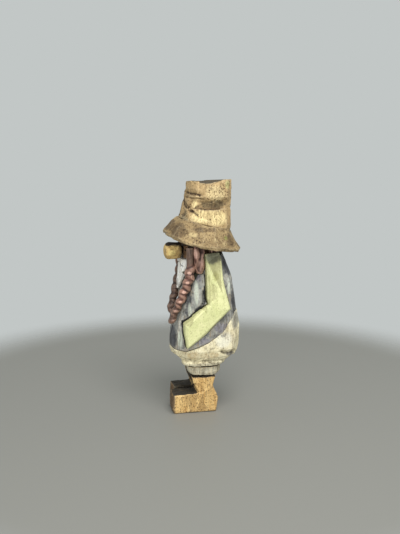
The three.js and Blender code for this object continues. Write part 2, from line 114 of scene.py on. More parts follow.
class Blank:
    """A block of wood under the knife: its points in millimetres, and a few marks on each point."""

    def __init__(self, mesh, voxel, chance=1):
        skin = remeshed(mesh, voxel)
        self.points = np.empty(len(skin.vertices) * 3)
        skin.vertices.foreach_get("co", self.points)
        self.points = self.points.reshape(-1, 3)
        self.edges = np.empty(len(skin.edges) * 2, int)
        skin.edges.foreach_get("vertices", self.edges)
        self.edges = self.edges.reshape(-1, 2)
        self.faces = [tuple(face.vertices) for face in skin.polygons]
        corners = np.array([face[:3] for face in self.faces])
        opposite = np.array([face[-1] for face in self.faces])
        self.corners = np.column_stack([corners, opposite])
        self.neighbours = np.bincount(self.edges.ravel(), minlength=len(self.points)).clip(1)
        self.random = np.random.RandomState(chance)
        self.marks = {"cut": np.zeros(len(self.points)), "facet": np.full(len(self.points), 0.5)}
        self.feel()
        bpy.data.meshes.remove(skin)

    def feel(self):
        """Works out the outward direction at every point again, after the knife has moved it."""
        a, b, c, d = (self.points[self.corners[:, k]] for k in range(4))
        across = np.cross(c - a, d - b)
        normals = np.zeros_like(self.points)
        for axis in range(3):
            for k in range(4):
                normals[:, axis] += np.bincount(
                    self.corners[:, k], weights=across[:, axis], minlength=len(self.points))
        self.normals = normals / np.linalg.norm(normals, axis=1, keepdims=True).clip(1e-9)

    def averaged(self, values, rounds):
        """Each value replaced by the mean of its neighbours' values, a number of times."""
        values = values.copy()
        first, second = self.edges.T
        for _ in range(rounds):
            sums = np.zeros_like(values)
            for axis in range(values.shape[1]):
                column = values[:, axis]
                sums[:, axis] = np.bincount(first, weights=column[second], minlength=len(values))
                sums[:, axis] += np.bincount(second, weights=column[first], minlength=len(values))
            values = sums / self.neighbours[:, None]
        return values

    def push(self, amount):
        """Moves every point outwards by an amount, or inwards where it is negative."""
        self.points = self.points + self.normals * amount[:, None]
        self.feel()


def block(name, voxel, chance=1):
    """A blank from a CAD block: its triangles merged, and measured in millimetres."""
    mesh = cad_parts[name].data.copy()
    mesh.vertices.foreach_set("co", ((np.array([v.co for v in mesh.vertices]) - MIDDLE) / MM).ravel())
    merged = bmesh.new()
    merged.from_mesh(mesh)
    bmesh.ops.remove_doubles(merged, verts=merged.verts, dist=0.001)
    merged.to_mesh(mesh)
    merged.free()
    return Blank(mesh, voxel, chance)


# %% [markdown]
# ## The knife
# Flat-plane carving leaves a skin of small flat facets. Each facet is one stroke of the knife along the
# grain. The first tool spreads the strokes over the block, gives each one a plane, and moves every point on
# to the lowest of the planes near it, so neighbouring facets meet in crisp edges.

# %% Whittling
# Multiplied by a cell's three numbers and added up, they make one number for the cell.
CELL_NUMBERS = np.array([1, 1000, 1000000])
STROKES_IN_REACH = 9
POINTS_AT_A_TIME = 4000
TILT_SHARE = 0.6
# A stroke is drawn back from points that face another way, so it doesn't cut through an edge.
SAME_WAY, LEAST_FACING, DRAWN_BACK = 0.7, 0.4, 6


def whittle(blank, stroke, along, depth, tilt, dish=0.02):
    """Scooped facets about stroke wide, longer along the grain, each tilted a little at random."""
    stretch = np.array([1, 1, along])
    where = blank.points * stretch
    cells = np.floor((where + blank.random.uniform(0, stroke, 3)) / stroke).astype(int)
    keys = cells @ CELL_NUMBERS
    order = blank.random.permutation(len(keys))
    _, chosen = np.unique(keys[order], return_index=True)
    seeds = order[chosen]
    planes = blank.averaged(blank.normals, 6)[seeds]
    planes += np.radians(tilt) * blank.random.normal(0, 1, planes.shape) * TILT_SHARE
    planes /= np.linalg.norm(planes, axis=1, keepdims=True)
    starts = blank.points[seeds] - planes * blank.random.uniform(0, depth * 0.5, (len(seeds), 1))
    tones = blank.random.uniform(0, 1, len(seeds))
    nearest = min(STROKES_IN_REACH, len(seeds))
    moves = np.zeros(len(where))
    for start in range(0, len(where), POINTS_AT_A_TIME):
        part = slice(start, start + POINTS_AT_A_TIME)
        gaps = ((where[part, None, :] - where[seeds][None]) ** 2).sum(2)
        near = np.argpartition(gaps, nearest - 1, axis=1)[:, :nearest]
        near_gaps = np.take_along_axis(gaps, near, 1)
        facing = (planes[near] * blank.normals[part, None, :]).sum(2)
        height = ((starts[near] - blank.points[part, None, :]) * planes[near]).sum(2)
        travel = height / facing.clip(LEAST_FACING) + dish * near_gaps
        travel = travel + (SAME_WAY - facing).clip(0) * depth * DRAWN_BACK
        lowest = travel.argmin(1)
        rows = np.arange(len(lowest))
        moves[part] = travel[rows, lowest].clip(-depth, depth * 0.4)
        blank.marks["facet"][part] = tones[near[rows, lowest]]
    blank.push(blank.averaged(moves[:, None], 2)[:, 0])


# %% [markdown]
# ## Cuts
# The second tool cuts a V-shaped groove. Its route is drawn flat on one side of the block, as a carver first
# pencils it, and is then laid on to the surface there. One wall of a cut can slope away further than the
# other, which is how a fold in cloth is carved.

# %% Cutting along a route
VIEWS = {"left": (0, 1), "right": (0, -1), "back": (1, 1), "front": (1, -1), "top": (2, 1)}
# A route is laid on to points this near to it, in millimetres, that face the side it is drawn on at all.
FOUND_WITHIN, FACES_SIDE = 0.6, 0.1


def traced(blank, view, route, step=0.5):
    """Points of the block's surface under a route drawn on one side of it, every step millimetres."""
    axis, sign = VIEWS[view]
    flat = [a for a in range(3) if a != axis]
    route = np.array(route, float)
    found = []
    for start, end in zip(route[:-1], route[1:]):
        for share in np.arange(0, 1, step / max(step, np.linalg.norm(end - start))):
            found.append(start + (end - start) * share)
    found.append(route[-1])
    path = []
    facing = blank.normals[:, axis] * sign > FACES_SIDE
    flat_points = blank.points[:, flat]
    for spot in found:
        gap = np.linalg.norm(flat_points - spot, axis=1)
        under = np.where(facing & (gap < FOUND_WITHIN))[0]
        if len(under):
            top = under[(blank.points[under, axis] * sign).argmax()]
            path.append(blank.points[top])
    path = np.array(path).reshape(-1, 3)
    for _ in range(3):
        path[1:-1] = (path[:-2] + path[1:-1] * 2 + path[2:]) / 4
    return path


def distance_to(points, path):
    """How far each point is from the path, and the nearest point of the path."""
    best = np.full(len(points), np.inf)
    nearest = np.zeros_like(points)
    for start, end in zip(path[:-1], path[1:]):
        run = end - start
        share = ((points - start) @ run / max(run @ run, 1e-9)).clip(0, 1)
        spot = start + share[:, None] * run
        gap = np.linalg.norm(points - spot, axis=1)
        closer = gap < best
        best[closer] = gap[closer]
        nearest[closer] = spot[closer]
    return best, nearest


# The stain beside a cut reaches this many times the cut's width, and no wall of a cut reaches LONGEST_WALL.
WASH_REACH = 1.7
LONGEST_WALL = 6


def score(blank, view, route, width=0.6, depth=0.5, slope=None, stain=1.0):
    """A V-shaped cut. With slope=(direction, reach) one wall of it slopes away in that direction."""
    path = traced(blank, view, route)
    if len(path) < 2:
        return
    low, high = path.min(0) - LONGEST_WALL, path.max(0) + LONGEST_WALL
    close = np.where(((blank.points > low) & (blank.points < high)).all(1))[0]
    gap, nearest = distance_to(blank.points[close], path)
    reach = np.full(len(close), width)
    if slope is not None:
        away = (blank.points[close] - nearest) @ np.array(slope[0], float)
        reach = np.where(away > 0, slope[1], width)
    profile = (1 - gap / reach).clip(0, 1)
    amount = np.zeros(len(blank.points))
    amount[close] = -depth * profile
    wash = stain * (1 - gap / (width * WASH_REACH)).clip(0, 1) ** 1.5
    blank.marks["cut"][close] = np.maximum(blank.marks["cut"][close], wash)
    blank.push(amount)


# %% [markdown]
# ## Sanding and soft shapes
# Two gentler tools do what the knife can't: one rounds the whole block, and the other raises or sinks a soft
# round area, such as a cheek.

# %% Sandpaper and gouge
SWELL_FADE = 2.2


def sand(blank, rounds):
    """Rounds corners and facets, as sandpaper does."""
    blank.points = blank.averaged(blank.points, rounds)
    blank.feel()


def swell(blank, spot, radius, height):
    """A soft round rise at a spot, or a hollow where the height is negative."""
    gap = np.linalg.norm(blank.points - np.array(spot, float), axis=1)
    blank.push(height * np.exp(-SWELL_FADE * (gap / radius) ** 2))


# %% [markdown]
# ## Marks for the paint
# Old paint is thin on the ridges, and dirt and stain stay in the hollows; the darkening of the broad hollows
# is painted shade. Both can be read from the shape: where the surface lies below the mean of its neighbours
# it is a hollow, and where it lies above, a ridge. The dark wash also runs into the joint between two blocks
# and stays there; where the mark reaches wider, as under the brim and between the legs, it is painted shade.
# Faces that look up are end grain, which drinks stain and turns nearly black, and faces that look down are
# marked for painted shade. Each mark is stored on the mesh as an attribute, where the materials read it. A
# dab is a mark that is set at a given place; many dabs are painted shade or painted highlights.

# %% Marks
# How steeply a dab fades at its edge, and how far a face has to turn up or down to count as looking that way.
DAB_EDGE = 2.2
LOOKS_UP, LOOKS_DOWN = 0.62, 0.45


def within_reach(blank, node, reach):
    """Each point of the blank near a CAD block: its number, the block's nearest spot, and the gap to it."""
    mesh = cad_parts[node].data
    corners = [tuple((np.array(v.co) - MIDDLE) / MM) for v in mesh.vertices]
    tree = BVHTree.FromPolygons(corners, [tuple(p.vertices) for p in mesh.polygons])
    low, high = np.min(corners, 0) - reach, np.max(corners, 0) + reach
    for index in np.where(((blank.points > low) & (blank.points < high)).all(1))[0]:
        spot, _, _, gap = tree.find_nearest(blank.points[index], reach)
        if spot is not None:
            yield index, np.array(spot), gap


def meets(blank, *nodes, reach, strength=1.0):
    """Marks the dark wash that stays in the joint, within reach of other CAD blocks; with a wide reach the
    mark is painted shade.
    """
    for node in nodes:
        for index, _, gap in within_reach(blank, node, reach):
            wash = strength * (1 - gap / reach)
            blank.marks["cut"][index] = max(blank.marks["cut"][index], wash)


def dab(blank, mark, spot, radius, strength=1.0):
    """Adds a soft spot to a mark. radius may be one number, or three for an oval spot."""
    gap = np.linalg.norm((blank.points - np.array(spot, float)) / np.array(radius, float), axis=1)
    soft = strength * ((1 - gap) * DAB_EDGE).clip(0, 1)
    blank.marks[mark] = np.maximum(blank.marks.get(mark, np.zeros(len(gap))), soft)


def read_shape(blank):
    """Marks the ridges and hollows, both the fine and the broad ones, the end grain and the underside."""
    for rounds, size, suffix in ((4, 0.06, ""), (50, 0.5, "_broad")):
        rise = ((blank.points - blank.averaged(blank.points, rounds)) * blank.normals).sum(1)
        blank.marks["ridge" + suffix] = (rise / size).clip(0, 1)
        blank.marks["hollow" + suffix] = (-rise / size).clip(0, 1)
    smooth = blank.averaged(blank.normals, 2)
    blank.marks["end_grain"] = ((smooth[:, 2] - LOOKS_UP) / 0.25).clip(0, 1)
    # The underside mark is used for painted shade on faces that look down.
    blank.marks["underside"] = ((-smooth[:, 2] - LOOKS_DOWN) / 0.35).clip(0, 1)


# %% The finished piece
def finished(blank, name, material, node):
    """Turns the carved blank into a mesh object in metres, in the place of its CAD block."""
    read_shape(blank)
    mesh = bpy.data.meshes.new(name)
    mesh.from_pydata((blank.points * MM + MIDDLE).tolist(), [], blank.faces)
    for mark, values in blank.marks.items():
        layer = mesh.attributes.new(mark, "FLOAT", "POINT")
        layer.data.foreach_set("value", values.astype(np.float32))
    mesh.polygons.foreach_set("use_smooth", np.ones(len(mesh.polygons), bool))
    mesh.materials.append(material)
    piece = bpy.data.objects.new(name, mesh)
    bpy.context.scene.collection.objects.link(piece)
    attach(piece, "root")
    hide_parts(node)
    print(name, "has", len(blank.faces), "faces")


# %% [markdown]
# ## Blocks that touch
# The CAD blocks stand a little apart. Two painted blocks that are glued together show no such gap, so the
# face of one of them is drawn over to the other.

# %% Close a joint
GLUE_OVERLAP = 0.05


def glue(blank, node, reach=0.6):
    """Moves the points that face a neighbouring CAD block over to it."""
    for index, spot, gap in within_reach(blank, node, reach):
        way = spot - blank.points[index]
        if way @ blank.normals[index] > 0.5 * gap:
            blank.points[index] += way * (1 + GLUE_OVERLAP / max(gap, GLUE_OVERLAP))
    blank.feel()


# %% [markdown]
# ## Shader maths
# A material is a small network of nodes. Writing it as arithmetic keeps it readable, so one class wraps a
# socket: adding two wrapped sockets adds a Math node and returns its wrapped result.

# %% The socket class
class Value:
    """A number, colour or vector that comes out of a node."""

    def __init__(self, tree, socket):
        self.tree = tree
        self.socket = socket

    def node(self, kind, inputs, output=0, **settings):
        """Adds a node: its settings first, then a value or a link for each named or numbered input."""
        made = self.tree.nodes.new(kind)
        for key, value in settings.items():
            setattr(made, key, value)
        for key, value in inputs.items():
            if isinstance(value, Value):
                self.tree.links.new(value.socket, made.inputs[key])
            else:
                made.inputs[key].default_value = value
        return Value(self.tree, made.outputs[output])

    def math(self, operation, *values):
        return self.node("ShaderNodeMath", dict(enumerate((self,) + values)), operation=operation)

    def __add__(self, other):
        return self.math("ADD", other)

    def __mul__(self, other):
        return self.math("MULTIPLY", other)

    def __sub__(self, other):
        return self.math("SUBTRACT", other)

    def __rsub__(self, other):
        return self.node("ShaderNodeMath", {0: other, 1: self}, operation="SUBTRACT")

    __radd__ = __add__
    __rmul__ = __mul__

    def between(self, low, high):
        """0 below low, 1 above high, and a smooth step between them."""
        return self.node(
            "ShaderNodeMapRange", {"Value": self, "From Min": low, "From Max": high},
            interpolation_type="SMOOTHSTEP")

    def clipped(self):
        return self.node("ShaderNodeClamp", {"Value": self})

    def stretched(self, x, y, z):
        return self.node("ShaderNodeVectorMath", {0: self, 1: (x, y, z)}, operation="MULTIPLY")

    def noise(self, scale, detail=3.0, roughness=0.55):
        """Noise from 0 to 1 with scale spots in a metre."""
        return self.node(
            "ShaderNodeTexNoise",
            {"Vector": self, "Scale": scale, "Detail": detail, "Roughness": roughness})


def mixed(first, second, factor, blend="MIX"):
    """The second colour over the first one, by a factor."""
    tree = factor.tree
    made = tree.nodes.new("ShaderNodeMix")
    made.data_type = "RGBA"
    made.blend_type = blend
    tree.links.new(factor.socket, made.inputs["Factor"])
    for name, colour in (("A", first), ("B", second)):
        socket = next(s for s in made.inputs if s.name == name and s.type == "RGBA")
        if isinstance(colour, Value):
            tree.links.new(colour.socket, socket)
        else:
            socket.default_value = (*colour, 1)
    return Value(tree, next(s for s in made.outputs if s.type == "RGBA"))


def srgb(*screen):
    """A screen colour, red, green and blue from 0 to 255, as the linear light that Blender mixes."""
    return tuple((v / 255 / 12.92) if v <= 10 else ((v / 255 + 0.055) / 1.055) ** 2.4 for v in screen)


# %% [markdown]
# ## Carved and painted basswood
# The real finish is bare basswood with thin oil paint rubbed on and partly wiped off, then a dark antiquing
# wash that stays in the cuts. The material is built in the same order: wood grain, paint that is thin on the
# ridges, dabs, many of them painted shade or painted highlights, darker grain and pores, stain in the cuts
# and hollows with painted shade in the broad hollows and the wide joints, rubbed ridges with a painted
# highlight on the broad ones, dark end grain, and, where it is asked for, painted shade on faces that look
# down. The growth layers stand upright, so the streaks run along Z.

# %% The finish
BASSWOOD = (srgb(226, 196, 140), srgb(178, 136, 82))
# STAIN is also the colour of painted shade in broad hollows, wide joints and undersides.
STAIN = srgb(34, 26, 20)
END_GRAIN = srgb(58, 47, 38)
RUBBED_WOOD = srgb(244, 228, 190)
GRAIN_SHADE = srgb(120, 98, 78)
PORE_SHADE = srgb(100, 72, 46)
ALONG_GRAIN = 0.09
# Spots in a metre, from broad drifts of colour to single fibres.
DRIFT_SPOTS, PATCH_SPOTS, LAYER_SPOTS, PORE_SPOTS, FIBRE_SPOTS = 150, 420, 520, 1200, 1500
BUMP_HEIGHT = 0.15 * MM
GLOSS = 0.35


def plain_material(name):
    """A new material, its shader, and the place on the block as a value."""
    material = bpy.data.materials.new(name)
    material.use_nodes = True
    tree = material.node_tree
    tree.nodes.clear()
    output = tree.nodes.new("ShaderNodeOutputMaterial")
    shader = tree.nodes.new("ShaderNodeBsdfPrincipled")
    tree.links.new(shader.outputs[0], output.inputs["Surface"])
    return material, shader, Value(tree, tree.nodes.new("ShaderNodeTexCoord").outputs["Object"])


def wood_noises(place):
    """Fibres and growth layers, drawn out along the grain, then drifts of colour, patches and pores."""
    grain_place = place.stretched(1, 1, ALONG_GRAIN)
    fibres = grain_place.noise(FIBRE_SPOTS, 4, 0.6)
    layers = grain_place.noise(LAYER_SPOTS, 2, 0.5)
    drift = place.noise(DRIFT_SPOTS, 3, 0.5)
    patches = place.noise(PATCH_SPOTS, 4, 0.6)
    pores = place.noise(PORE_SPOTS, 3, 0.7)
    return fibres, layers, drift, patches, pores


def carved_finish(name, wood=BASSWOOD, paint=None, cover=0.8, worn=0.7, stain=STAIN, stained=1.0,
                  end=END_GRAIN, end_amount=0.9, dabs=(), speckle=0.4, streak=1.0,
                  rough=0.72, under=0.0, shine=RUBBED_WOOD, shining=0.5):
    """paint is two colours that drift into each other; dabs are (mark, colour, strength) on top of it."""
    material, shader, place = plain_material(name)
    fibres, layers, drift, patches, pores = wood_noises(place)

    def mark(attribute):
        return place.node("ShaderNodeAttribute", {}, output=2, attribute_name=attribute)

    colour = mixed(wood[0], wood[1], ((fibres - 0.5) * 1.8 + (layers - 0.5) * 1.8 + 0.45).clipped())
    if paint is not None:
        wash = mixed(paint[0], paint[1], (drift * 0.6 + patches * 0.7 - 0.16).between(0.28, 0.72))
        thin = (fibres - 0.5) * (0.9 * streak) + (patches - 0.5) * 0.8
        covering = (cover + thin - mark("ridge") * worn - mark("ridge_broad") * (worn * 0.5)).clipped()
        colour = mixed(colour, wash, covering)
    for attribute, dab_colour, strength in dabs:
        ragged = (drift - 0.5) * 1.2 + (patches - 0.5) * 0.9 + (fibres - 0.5) * 0.9 + (pores - 0.5) * 0.4
        broken = (mark(attribute) + ragged).between(0.1, 0.95)
        colour = mixed(colour, dab_colour, broken * mark(attribute).between(0, 0.3) * strength)
    tone = (mark("facet") - 0.5) * 0.8 + (layers - 0.5) * streak + (fibres - 0.5) * (1.4 * streak) + 0.5
    colour = mixed(colour, GRAIN_SHADE, (1 - tone.between(0, 0.6)) * 0.5, "MULTIPLY")
    dots = (pores.between(0.5, 0.68) * speckle * (0.4 + patches + mark("pitted") * 0.8)).clipped()
    colour = mixed(colour, PORE_SHADE, dots, "MULTIPLY")
    broken_line = (patches * 3.2 - 1.2).clipped()
    # Stain in the cuts and fine hollows, and painted shade in the broad hollows and the wide joints.
    wash_and_shade = mark("hollow") * broken_line * 0.6 + mark("hollow_broad") * 0.7 + mark("cut") * 1.1
    wash_and_shade = (wash_and_shade * stained * (0.6 + patches * 0.8) - 0.05).clipped()
    colour = mixed(colour, stain, wash_and_shade)
    # Rubbed wood on the fine ridges, and a painted highlight on the broad ones.
    lit = mark("ridge") * broken_line + mark("ridge_broad") * 0.4
    colour = mixed(colour, shine, (lit * (fibres + 0.2) * shining).clipped())
    colour = mixed(colour, end, (mark("end_grain") * (end_amount + (patches - 0.5) * 0.4)).clipped())
    # Painted shade on the faces that look down.
    if under > 0:
        colour = mixed(colour, stain, mark("underside") * under)

    roughness = (rough + (patches - 0.5) * 0.25 + wash_and_shade * 0.12).clipped()
    height = fibres * 0.8 + pores * 0.4 + patches * 0.5
    bump = place.node("ShaderNodeBump", {"Height": height, "Strength": 0.5, "Distance": BUMP_HEIGHT})
    shader.inputs["Specular IOR Level"].default_value = GLOSS
    for socket, value in (("Base Color", colour), ("Roughness", roughness), ("Normal", bump)):
        material.node_tree.links.new(value.socket, shader.inputs[socket])
    return material


# %% [markdown]
# ## The hat's crown
# The crown is one block that slumps into two rolls. Its life comes from a few deep folds, each made by one
# stop cut and one slicing cut, so one wall is steep and the other slopes away. The top is end grain. The
# folds on the right sit a little higher than those on the left, so that they don't meet as a pair in front.

# %% Carve the crown
DOWN, UP = (0, 0, -1), (0, 0, 1)
DOWN_AND_FORWARD = (0, -0.7, -0.7)
RIGHT_FOLDS_HIGHER = 1.5
UNDER_UPPER_ROLL = [(-3, 112.2), (2, 111.9), (8, 112)]
UPPER_WEDGE = [(-10, 119.8), (-7, 119.7), (-3.6, 119.2)]
UPPER_WEDGE_FLOOR = [(-10, 119.3), (-8, 119.3), (-6, 119.2)]
ROLL_CREASE = [(-9.8, 117.4), (-5, 116.9), (-1.6, 116.2)]
FRONT_CREASE = [(-11, 115.8), (-9.2, 112.8), (-7.6, 110.9)]
LOWER_WEDGE = [(-8.4, 111.2), (-6.4, 110.4), (-4.2, 109.2)]

crown = block("hat_crown", USUAL_SQUARE, chance=3)
whittle(crown, stroke=4.6, along=0.6, depth=0.4, tilt=6)
for side, view in SIDES:
    lift = np.array((0, 0.0 if side > 0 else RIGHT_FOLDS_HIGHER))
    score(crown, view, lift + UNDER_UPPER_ROLL, 0.7, 0.7, slope=(UP, 5.0), stain=0.3)
    score(crown, view, lift + UPPER_WEDGE, 0.9, 0.9, slope=(UP, 2.6), stain=0.5)
    score(crown, view, lift + UPPER_WEDGE_FLOOR, 1.3, 0.2, stain=0.5)
    score(crown, view, lift + ROLL_CREASE, 0.9, 0.35, stain=0.2)
    score(crown, view, lift + FRONT_CREASE, 0.8, 0.35, slope=(DOWN_AND_FORWARD, 2.6), stain=0.1)
    score(crown, view, lift + LOWER_WEDGE, 0.8, 0.7, slope=(DOWN_AND_FORWARD, 2.0), stain=0.6)
    # Painted shade under the upper roll and down the front, and painted highlights on the bands that face up.
    dab(crown, "shade", (side * 12, 4.6, 114), (9, 9.6, 3.0))
    dab(crown, "shade", (side * 9, -13.4, 109.5), (9, 5.4, 10))
    dab(crown, "shade", (side * 9, -12.6, 121), (9, 3.6, 9), 0.9)
    dab(crown, "pitted", (side * 12, 5.6, 120), (9, 7.6, 5.6))
    dab(crown, "painted_highlight", (side * 13, 5, 107), (8, 9.4, 5.6))
    dab(crown, "painted_highlight", (side * 13, -3, 107.6), (8, 7, 4.6))
    dab(crown, "painted_highlight", (side * 12, -5.8, 114.2), (6, 2.8, 3.0))
    dab(crown, "moss", (side * 12, 12.2, 124), (8, 2.4, 3.4))
score(crown, "front", [(-8, 117), (-3, 115.6), (3, 113), (7, 112.2)], 0.9, 0.6, slope=(UP, 3), stain=0.4)
score(crown, "back", [(-7, 118.6), (-2, 117.4), (4, 117.8)], 0.9, 0.5, slope=(UP, 3), stain=0.4)
score(crown, "back", [(-3, 110), (2, 110.8), (7, 112.4)], 0.9, 0.4, slope=(DOWN, 2), stain=0.3)
glue(crown, "hat_brim")

# Painted highlights and painted shade are among these dabs.
hat_finish = carved_finish(
    "hat_wood_toned", wood=(srgb(214, 184, 134), srgb(160, 132, 90)), end=srgb(62, 55, 44), speckle=0.9,
    stain=srgb(62, 46, 32), streak=1.9, shining=0.3,
    dabs=(("painted_highlight", srgb(252, 230, 168), 0.75), ("pitted", srgb(232, 212, 160), 0.5),
          ("moss", srgb(196, 190, 128), 0.7), ("shade", srgb(104, 90, 64), 0.85)))
finished(crown, "crown_of_the_hat", hat_finish, "hat_crown")

# %% [markdown]
# ## The brim
# The brim is a thin cone, hollow underneath. Its edge is the first thing to wear, and its outer face is cut
# across the grain, so it shows blotches and pores where the crown shows streaks.

# %% Carve the brim
brim = block("hat_brim", USUAL_SQUARE, chance=5)
whittle(brim, stroke=4.4, along=0.9, depth=0.35, tilt=6)
for side, view in SIDES:
    score(brim, view, [(4.6, 97.8), (8, 94)], 1.2, 0.35, stain=0.15)
    score(brim, view, [(-11, 100), (-7, 97)], 1.2, 0.3, stain=0.15)
    # Painted shade at the front and back of the brim, and painted highlights on its lit bands.
    dab(brim, "shade", (side * 12, -15, 101), (9, 5.4, 5))
    dab(brim, "shade", (side * 13, 13, 95), (8, 4.6, 5), 0.8)
    dab(brim, "shade", (side * 15, -2, 101.4), (9, 9, 1.8), 0.7)
    dab(brim, "shade", (side * 17, -5.5, 95.6), (6, 4, 1.4), 0.5)
    dab(brim, "painted_highlight", (side * 16, -8, 99), (6, 2.6, 1.6), 0.8)
    dab(brim, "painted_highlight", (side * 17, 3.6, 96), (6, 3, 1.8), 0.7)
    dab(brim, "painted_highlight", (side * 16, 8.4, 93.6), (6, 2.6, 1.4), 0.8)
    dab(brim, "moss", (side * 16, 10.4, 96.6), (4, 1.8, 1.6))
dab(brim, "shade", (0, -17, 102), (9, 5, 4))
dab(brim, "shade", (0, 17, 93), (9, 5, 4))
# Painted shade on the brim where it meets the crown.
meets(brim, "hat_crown", reach=2.2, strength=0.5)
# The underside of the brim is darkened as painted shade.
brim_finish = carved_finish(
    "brim_wood_toned", wood=(srgb(188, 162, 116), srgb(128, 106, 72)), speckle=1.1, streak=1.6, under=0.9,
    end_amount=0.0, stain=srgb(64, 46, 34), shining=0.25, stained=0.8,
    dabs=(("painted_highlight", srgb(206, 184, 134), 0.7), ("shade", srgb(104, 84, 58), 0.85),
          ("moss", srgb(140, 138, 76), 0.8)))
finished(brim, "brim_of_the_hat", brim_finish, "hat_brim")

# %% [markdown]
# ## Head, nose and beard
# The nose is a barrel-shaped knob. The rest of the face is kept calm and simple: brows, closed eyes and
# cheeks, each a low rise or hollow or a cut. The beard hangs straight, so its hair is a fan of shallow V cuts
# that meet at the point.

# %% Carve the head
head = block("head", USUAL_SQUARE, chance=7)
nose_low, nose_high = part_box("nose")
NOSE_Z = (nose_low.z + nose_high.z) / 2 / MM
whittle(head, stroke=3.4, along=0.6, depth=0.2, tilt=4)
for side in (1, -1):
    swell(head, (side * 5.4, -10.8, NOSE_Z + 1.6), 2.0, -0.9)
    swell(head, (side * 5.4, -10.4, NOSE_Z + 1.4), 1.3, 0.75)
    swell(head, (side * 6.0, -10.6, NOSE_Z - 2.6), 2.4, 0.7)
    closed_eye = [(side * 4.2, NOSE_Z + 1.1), (side * 5.5, NOSE_Z + 0.7), (side * 6.9, NOSE_Z + 1.2)]
    brow = [(side * 3.8, NOSE_Z + 3.3), (side * 5.6, NOSE_Z + 3.9), (side * 7.4, NOSE_Z + 3.1)]
    score(head, "front", closed_eye, 0.5, 0.3)
    score(head, "front", brow, 0.6, 0.35, slope=(DOWN, 0.9))
# Painted shade under the brim.
meets(head, "hat_brim", reach=4, strength=1.2)
meets(head, "nose", "hair_lock_left", "hair_lock_right", reach=1.6)
# Painted shadow of the brim on the forehead and the sides of the face.
for side in (1, -1):
    dab(head, "painted_brim_shadow", (side * 9.6, -10.5, 88), (4.6, 16, 16))
dab(head, "painted_brim_shadow", (0, -10, 95), (14, 9, 4.6))
# The dark face wood and the black dabs are painted shade under the brim.
face_finish = carved_finish(
    "face_wood_painted_shade", wood=(srgb(124, 92, 64), srgb(70, 52, 38)), stained=1.1,
    shine=srgb(196, 154, 108), dabs=(("painted_brim_shadow", srgb(30, 22, 18), 1.0),))
finished(head, "head_and_face", face_finish, "head")

# %% Carve the nose
nose = block("nose", FINE_SQUARE, chance=11)
sand(nose, 60)
whittle(nose, stroke=2.9, along=0.9, depth=0.4, tilt=7)
# Painted shade where the nose meets the face under the brim.
meets(nose, "head", reach=3.2)
# Painted shade on the top and the underside of the nose, and painted highlights on its front corners.
dab(nose, "shade", (0, -14, NOSE_Z + 5.6), (9, 9, 4))
dab(nose, "shade", (0, -15, NOSE_Z - 5.2), (8, 9, 1.8), 0.8)
for side in (1, -1):
    dab(nose, "painted_highlight", (side * 5, -17, NOSE_Z - 0.6), (3, 2.6, 2.2))
nose_finish = carved_finish(
    "nose_wood_bare", wood=(srgb(240, 208, 136), srgb(176, 138, 80)), end=srgb(46, 38, 32), end_amount=1.0,
    speckle=0.6, shining=0.2, dabs=(("shade", srgb(56, 46, 36), 0.95), ("painted_highlight", srgb(255, 232, 150), 0.7)))
finished(nose, "knob_nose", nose_finish, "nose")

# %% Carve the beard
beard = block("beard", FINE_SQUARE, chance=13)
whittle(beard, stroke=2.6, along=0.4, depth=0.2, tilt=6)
LOCKS = 9
for lock in range(LOCKS):
    spread = lock / (LOCKS - 1) * 2 - 1
    wave = 0.35 * math.sin(lock * 2.3)
    score(beard, "front", [(spread * 7 + wave, 83.4), (spread * 5.6 - wave, 77.5), (spread * 1.6, 69.5)],
          0.5, 0.4, stain=0.3)
score(beard, "front", [(-6.4, 81.2), (0, 82.3), (6.4, 81.2)], 0.6, 0.45, slope=(DOWN, 1.0), stain=0.7)
for side in (1, -1):
    dab(beard, "dark", (side * 6, -10.4, 77.2), (3.4, 1.8, 1.1))
beard_finish = carved_finish(
    "beard_white_paint", paint=(srgb(255, 255, 252), srgb(250, 248, 240)), cover=1.6, worn=0.1, stained=0.6,
    speckle=0.05, streak=0.3, end_amount=0.2, dabs=(("dark", srgb(70, 72, 58), 0.95),))
finished(beard, "white_beard", beard_finish, "beard")

# %% [markdown]
# ## The locks and the nape
# Each ear is hidden by a fat lock of hair. One deep slanting cut parts it into two plump strands, a finer cut
# follows beside it, and sanding rounds them both. The paint is worn on the plump parts, and painted pink
# highlights make them shine. The nape is a plain block with upright cuts, in painted shade between the brim
# and the coat.

# %% Carve the locks
PARTING = [(-3.4, 92.6), (-2.2, 89.4), (-2.4, 86.4), (-4.4, 83.6), (-4.8, 80)]
FINE_PARTING = [(-0.4, 87.4), (-1.4, 84.6), (-1.2, 82), (-2, 79.6)]

